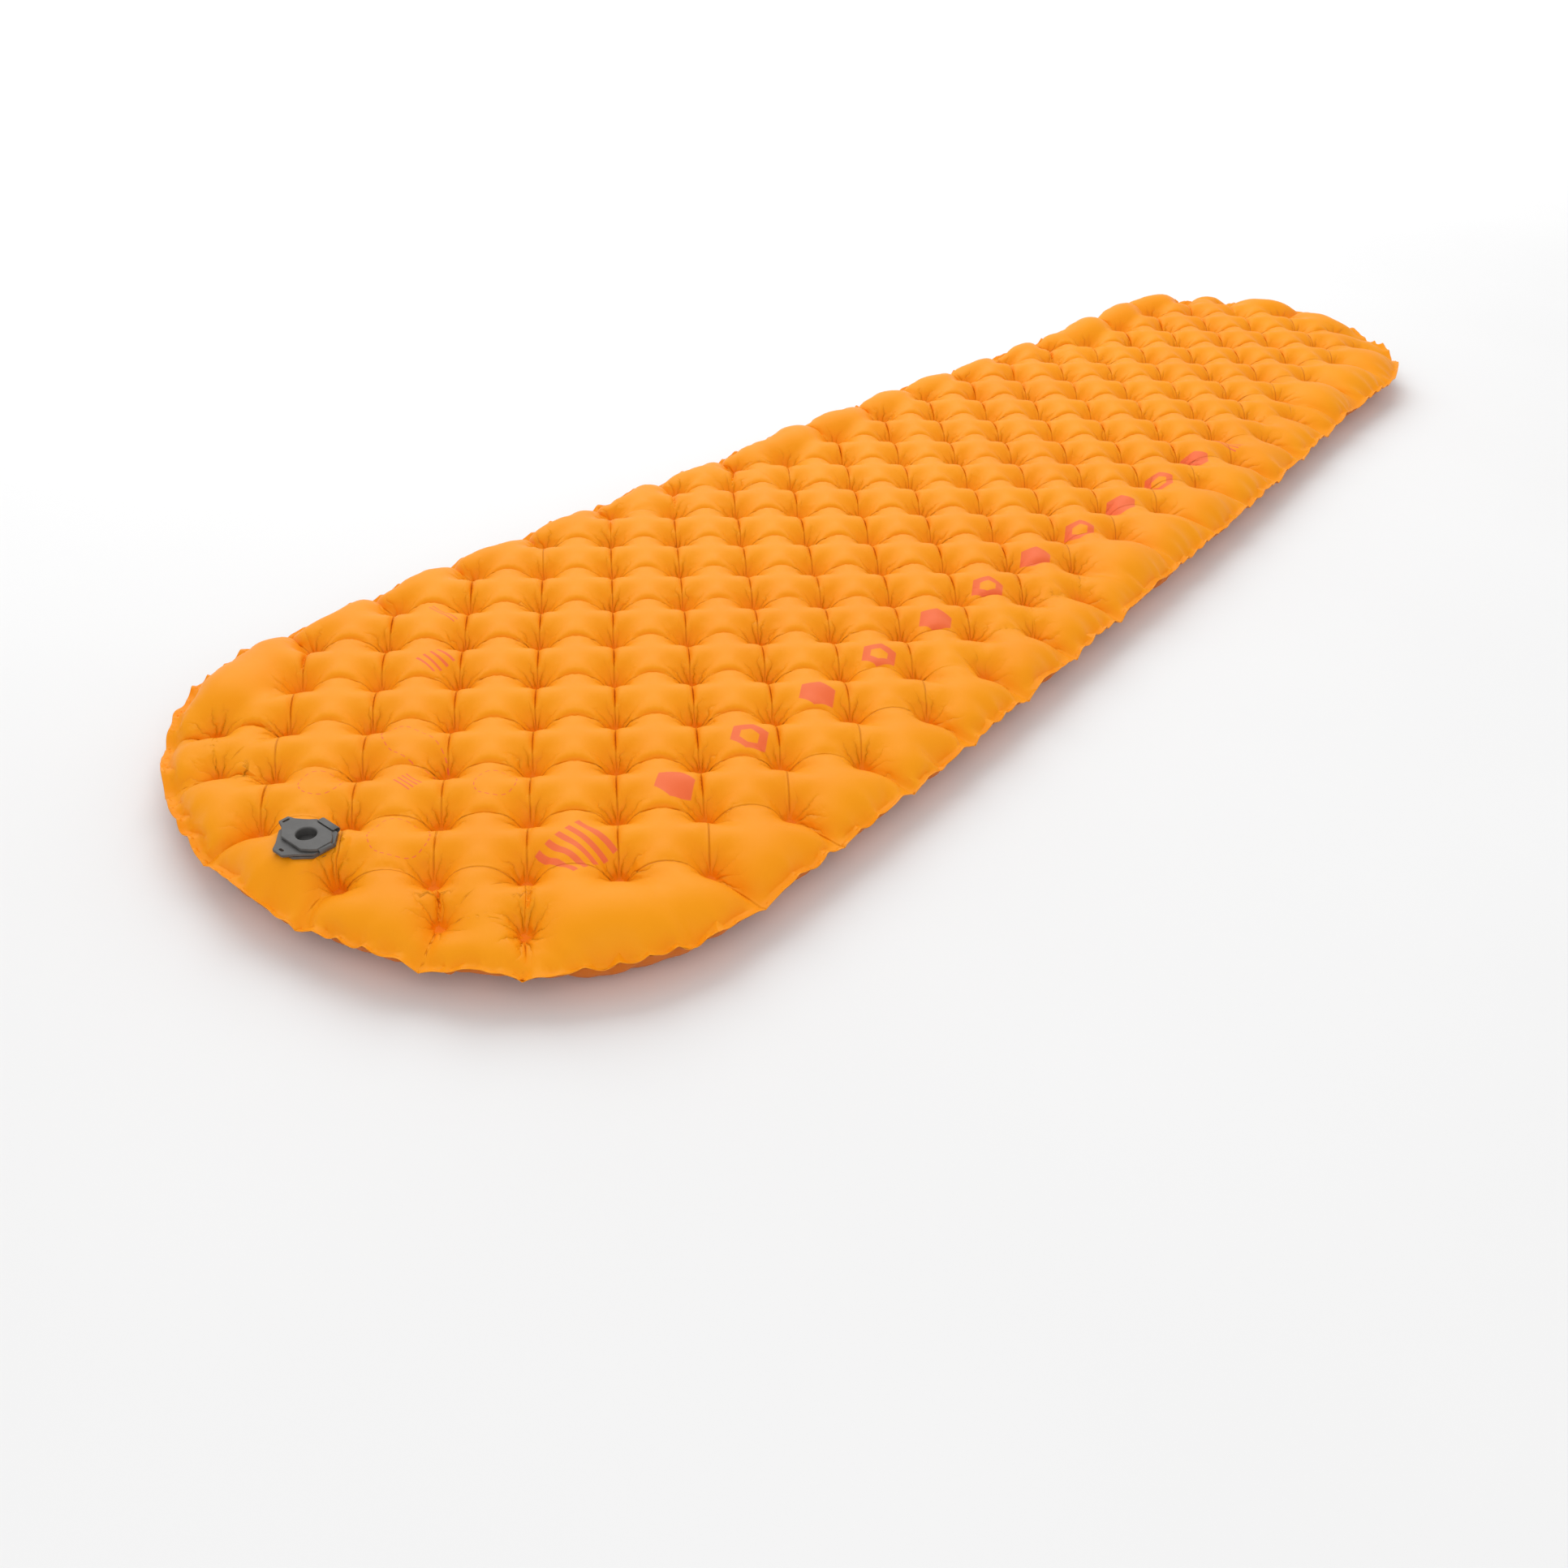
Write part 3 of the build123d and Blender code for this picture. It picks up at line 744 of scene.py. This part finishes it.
def sheet(name, node, cloth, place, up, link, material):
    """One inflated sheet, its outer face half the fabric's thickness from the solved surface."""
    place = place + grid_normals(place) * (FABRIC / 2 if up else -FABRIC / 2)
    port = np.hypot(cloth.flat[..., 0] - PORT[0], cloth.flat[..., 1] - PORT[1])
    kept = cloth.used & ((port > COLLAR_RADIUS) | (not up))
    made = new_object(name, place[:, kept].T, grid_faces(kept, cloth.origin, up), material)
    offset = cloth.to_dot[kept]
    store(made, "from_dot", "FLOAT_VECTOR", np.c_[offset, np.hypot(*offset.T)])
    store(made, "link", "FLOAT", link[kept])
    made.data.set_sharp_from_angle(angle=CREASE_ANGLE)
    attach(made, "pad")
    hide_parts(node)


def edge_strip(material):
    """Film squeezed out along the rim of the welded edge."""
    count = 4200  # points round the pad
    arc = np.arange(count) * OUTLINE.length / count
    bead, inner, half = 0.0005, FLANGE * 0.8, FABRIC * 0.5
    profile = ((inner, half), (0, half), (-bead, 0), (0, -half), (inner, -half))
    vertices = []
    for inset, lift in profile:
        line = seam_shape(arc, np.full(count, inset))
        line[:, 2] += lift
        vertices.append(line)
    sides = len(profile)
    k, side = np.meshgrid(np.arange(count), np.arange(sides), indexing="ij")
    after, beside = (k + 1) % count, (side + 1) % sides
    near, far = side * count, beside * count
    faces = np.stack([far + k, far + after, near + after, near + k], -1).reshape(-1, 4)
    made = new_object("edge_film", np.vstack(vertices), faces, material)
    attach(made, "pad")
    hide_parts("edge_weld")


DISC_SIDES = 20
DISC_MIDDLE = 0.0004  # half of a disc's thickness in its middle
DISC_PROFILE = ((0.0028, 0.00045), (0.0036, 0.0008), (0.0042, 0.0008), (0.0047, 0.0002))  # radius, height


def weld_discs(material):
    """The welded spots: thin discs with a raised rim, seen at the bottom of the pits."""
    rings = [*DISC_PROFILE, *((radius, -z) for radius, z in reversed(DISC_PROFILE))]
    angles = [2 * math.pi * turn / DISC_SIDES for turn in range(DISC_SIDES)]
    vertices, faces = [], []
    for x, y in DOTS:
        base = len(vertices)
        vertices.append((x, y, MIDDLE + DISC_MIDDLE))
        for radius, z in rings:
            for angle in angles:
                vertices.append((x + radius * math.cos(angle), y + radius * math.sin(angle), MIDDLE + z))
        vertices.append((x, y, MIDDLE - DISC_MIDDLE))
        starts = [base + 1 + ring * DISC_SIDES for ring in range(len(rings))]
        for turn in range(DISC_SIDES):
            after = (turn + 1) % DISC_SIDES
            faces.append((base, starts[0] + turn, starts[0] + after))
            for one, two in zip(starts, starts[1:]):
                faces.append((one + turn, two + turn, two + after, one + after))
            faces.append((starts[-1] + after, starts[-1] + turn, len(vertices) - 1))
    made = new_object("weld_spots", vertices, faces, material)
    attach(made, "pad")
    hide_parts("weld_dots")


INNER_INSET = 0.025  # the inner layers stop this far inside the edge
INNER_DOT_HOLE, INNER_PORT_HOLE = 0.018, 0.022  # radii of their holes
INNER_SEARCH = 4  # grid steps


def lowest_near(top):
    """The top sheet with each place brought down to the lowest height within a few grid steps."""
    low = top.copy()
    starts = [(up, across) for up in range(3) for across in range(3)]
    rows, columns = (size - 2 for size in top.shape[1:])
    for _ in range(INNER_SEARCH):
        near = [low[2, up : up + rows, across : across + columns] for up, across in starts]
        low[2, 1:-1, 1:-1] = np.min(near, axis=0)
    return low


def inner_layer(name, node, cloth, top, depth, thickness, material):
    """A layer that lies under the top sheet, with holes round the dots and the port."""
    part = (slice(cloth.origin[0] % 2, None, 2), slice(cloth.origin[1] % 2, None, 2))
    reach = np.linalg.norm(cloth.to_dot, axis=-1)
    port = np.hypot(cloth.flat[..., 0] - PORT[0], cloth.flat[..., 1] - PORT[1])
    kept = cloth.used & (cloth.inside > INNER_INSET) & (reach > INNER_DOT_HOLE) & (port > INNER_PORT_HOLE)
    place = lowest_near(top)[(slice(None), *part)]
    place[2] -= depth
    kept = kept[part]
    faces = grid_faces(kept, (cloth.origin[0] // 2, cloth.origin[1] // 2), upwards=True)
    made = new_object(name, place[:, kept].T, faces, material)
    solid = made.modifiers.new("thickness", "SOLIDIFY")
    solid.thickness, solid.offset = thickness, -1
    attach(made, "pad")
    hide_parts(node)


# ---- Valve pieces ----
def finish_node(name, material):
    """Material and shading for a CAD node that is shown as it is."""
    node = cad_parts[name]
    node.data.materials.clear()
    node.data.materials.append(material)
    node.data.polygons.foreach_set("use_smooth", [True] * len(node.data.polygons))
    node.data.set_sharp_from_angle(angle=HARD_ANGLE)


VALVE_GREY, VALVE_LIGHT = (0.080, 0.077, 0.073, 1), (0.145, 0.140, 0.133, 1)
SEAT_GREY, SEAT_LIGHT = (0.10, 0.10, 0.105, 1), (0.16, 0.16, 0.165, 1)
SEAL_BLACK, SEAL_LIGHT = (0.020, 0.020, 0.021, 1), (0.040, 0.040, 0.042, 1)
STRAP_THICKNESS, STRAP_BEVEL = 0.0009, 0.0003
LEG_POINTS, LEG_SHARE = 7, 0.92  # along the upper leg, and how much of it they take
LOOP_POINTS = 19
LOWER_LEG = 0.0008


def strap_path(start, centre, middle_z, loop):
    """Middle line of a folded strap seen from its side: the upper leg, the loop and a short lower leg."""
    shares = np.linspace(0, LEG_SHARE, LEG_POINTS)
    turns = np.linspace(math.pi / 2, -math.pi / 2, LOOP_POINTS)
    path = [(start + share * (centre - start), middle_z + loop) for share in shares]
    path += [(centre + loop * math.cos(turn), middle_z + loop * math.sin(turn)) for turn in turns]
    path.append((centre - LOWER_LEG, middle_z - loop))
    return np.array(path)


def strap_section(half_width, half):
    """Corners of a strap's bevelled cross-section: sideways and outwards."""
    side, edge = half_width - STRAP_BEVEL, half - STRAP_BEVEL
    left = [(-half_width, -edge), (-half_width, edge), (-side, half)]
    right = [(side, half), (half_width, edge), (half_width, -edge)]
    return left + right + [(side, -half), (-side, -half)]


def hinge_strap(name, node, along, material):
    """A folded hinge strap: two legs and the loop between them, its legs along X (0) or Y (1)."""
    low, high = (np.array(corner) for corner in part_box(node))
    across = 1 - along
    loop = (high[2] - low[2] - STRAP_THICKNESS) / 2
    middle_z = (high[2] + low[2]) / 2
    centre = high[along] - loop - STRAP_THICKNESS / 2
    middle = (high[across] + low[across]) / 2
    path = strap_path(low[along], centre, middle_z, loop)
    section = strap_section((high[across] - low[across]) / 2, STRAP_THICKNESS / 2)
    tangent = np.gradient(path, axis=0)
    tangent /= np.linalg.norm(tangent, axis=1)[:, None]
    normal = np.c_[-tangent[:, 1], tangent[:, 0]]
    vertices = []
    for point, way in zip(path, normal):
        for side, lift in section:
            spot = [0, 0, point[1] + way[1] * lift]
            spot[along] = point[0] + way[0] * lift
            spot[across] = middle + side
            vertices.append(spot)
    count, last = len(section), (len(path) - 1) * len(section)
    faces = []
    for near in range(0, last, count):
        far = near + count
        for i in range(count):
            after = (i + 1) % count
            faces.append([near + i, near + after, far + after, far + i])
    faces += [list(range(count)), list(range(last, last + count))]
    made = new_object(name, vertices, faces, material)
    shape = bmesh.new()
    shape.from_mesh(made.data)
    bmesh.ops.recalc_face_normals(shape, faces=shape.faces)
    shape.to_mesh(made.data)
    shape.free()
    made.data.set_sharp_from_angle(angle=STRAP_ANGLE)
    ends = [[0, 0, 0], [0, 0, 0]]
    for end, z in zip(ends, (middle_z - loop, middle_z + loop)):
        end[along], end[across], end[2] = centre, middle, z
    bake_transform(made)
    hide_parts(node)


def valve():
    """Base, flaps, seals, seat, diaphragm, button and the two living hinges."""
    dark = moulded("valve_plastic", VALVE_GREY, VALVE_LIGHT, roughness=0.46)
    seat = moulded("seat_plastic", SEAT_GREY, SEAT_LIGHT, roughness=0.38)
    rubber = moulded("seal_rubber", SEAL_BLACK, SEAL_LIGHT, roughness=0.62)
    for name in ("valve_base", "deflation_plug", "inflation_cap", "release_button"):
        finish_node(name, dark)
    finish_node("port_seat", seat)
    for name in ("plug_seal", "cap_seal", "valve_diaphragm"):
        finish_node(name, rubber)
    hinge_strap("deflation_ribbon", "deflation_strap", along=1, material=dark)
    hinge_strap("cap_ribbon", "cap_strap", along=0, material=dark)


# ---- Stage ----
CAMERA_PLACE = Vector((0.7880, -1.3257, 0.7092))
CAMERA_FORWARD = Vector((-0.49678, 0.65024, -0.57480)).normalized()
CAMERA_ROLL = math.radians(2.757)
CAMERA_LENS, CAMERA_SENSOR = 34.18, 36  # in millimetres


def camera():
    """The camera, rolled a little to its left."""
    right = CAMERA_FORWARD.cross(Vector((0, 0, 1))).normalized()
    up = right.cross(CAMERA_FORWARD)
    tilted = right * math.cos(CAMERA_ROLL) + up * math.sin(CAMERA_ROLL)
    up = up * math.cos(CAMERA_ROLL) - right * math.sin(CAMERA_ROLL)
    data = bpy.data.cameras.new("camera")
    data.lens, data.sensor_width = CAMERA_LENS, CAMERA_SENSOR
    made = bpy.data.objects.new("camera", data)
    bpy.context.collection.objects.link(made)
    axes = Matrix((tilted, up, -CAMERA_FORWARD)).transposed().to_4x4()
    made.matrix_world = Matrix.Translation(CAMERA_PLACE) @ axes
    bpy.context.scene.camera = made


def soft_light(name, place, size, power):
    """A square light that faces the origin."""
    data = bpy.data.lights.new(name, "AREA")
    data.size, data.energy = size, power
    made = bpy.data.objects.new(name, data)
    made.location = place
    made.rotation_euler = (-Vector(place)).to_track_quat("-Z", "Y").to_euler()
    bpy.context.collection.objects.link(made)


def studio():
    """White surroundings, two soft lights and a pale floor that turns white far from the pad."""
    world = bpy.data.worlds.new("studio")
    world.use_nodes = True
    tree = world.node_tree
    way = tree.nodes.new("ShaderNodeTexCoord")
    parts = tree.nodes.new("ShaderNodeSeparateXYZ")
    fade = tree.nodes.new("ShaderNodeMapRange")  # white at the horizon, dimmer overhead
    for name, value in {"From Min": 0.05, "From Max": 0.5, "To Min": 1.0, "To Max": 0.6}.items():
        fade.inputs[name].default_value = value
    tree.links.new(way.outputs["Generated"], parts.inputs[0])
    tree.links.new(parts.outputs["Z"], fade.inputs["Value"])
    tree.links.new(fade.outputs["Result"], tree.nodes["Background"].inputs["Strength"])
    tree.nodes["Background"].inputs["Color"].default_value = (1, 1, 1, 1)
    bpy.context.scene.world = world
    bpy.context.scene.view_settings.view_transform = "Standard"
    soft_light("key", place=(-1.6, 0.9, 2.4), size=3.2, power=64)
    soft_light("fill", place=(1.8, -2.0, 2.0), size=2.2, power=16)
    paint = Paint("floor")
    tone = paint.noise(2.0, 2.0)
    away = paint.node("VectorMath", {"Vector": paint.place}, operation="LENGTH").outputs["Value"]
    paint.set(Base_Color=paint.mix(tone, (0.86, 0.86, 0.86, 1), (0.90, 0.90, 0.90, 1)), Roughness=0.9)
    paint.set(Emission_Color=(1, 1, 1, 1), Emission_Strength=paint.span(away, 1.2, 4.5, 0.0, 0.55))
    reach, under = 40.0, -0.0003
    corners = [(reach * x, reach * y, under) for x, y in ((-1, -1), (1, -1), (1, 1), (-1, 1))]
    floor = new_object("floor", corners, [(0, 1, 2, 3)], paint.material, smooth=False)


# ---- Build ----
def build():
    """Every piece of the pad."""
    cloth, place = inflate()
    top, bottom = place[:, 0].astype(float), place[:, 1].astype(float)
    link = link_distance(cloth)
    top_paint = nylon("top_fabric", ORANGE, DEEP_ORANGE, marks=True)
    # The bottom sheet is the same nylon in a darker colour: painted shade for the underside.
    bottom_paint = nylon("bottom_fabric", SHADED_BOTTOM_ORANGE, SHADED_DEEP_BOTTOM, marks=False)
    sheet("top_sheet", "top_fabric", cloth, top, up=True, link=link, material=top_paint)
    sheet("bottom_sheet", "bottom_fabric", cloth, bottom, up=False, link=link, material=bottom_paint)
    edge_strip(weld_film_material())
    weld_discs(spot_material())
    foil = {"depth": 0.0015, "thickness": 0.0003, "material": foil_material()}
    batt = {"depth": 0.0022, "thickness": 0.0030, "material": batt_material()}
    inner_layer("foil_layer", "reflective_film", cloth, top, **foil)
    inner_layer("batt_layer", "insulation_batt", cloth, top, **batt)
    valve()


camera()
studio()
build()
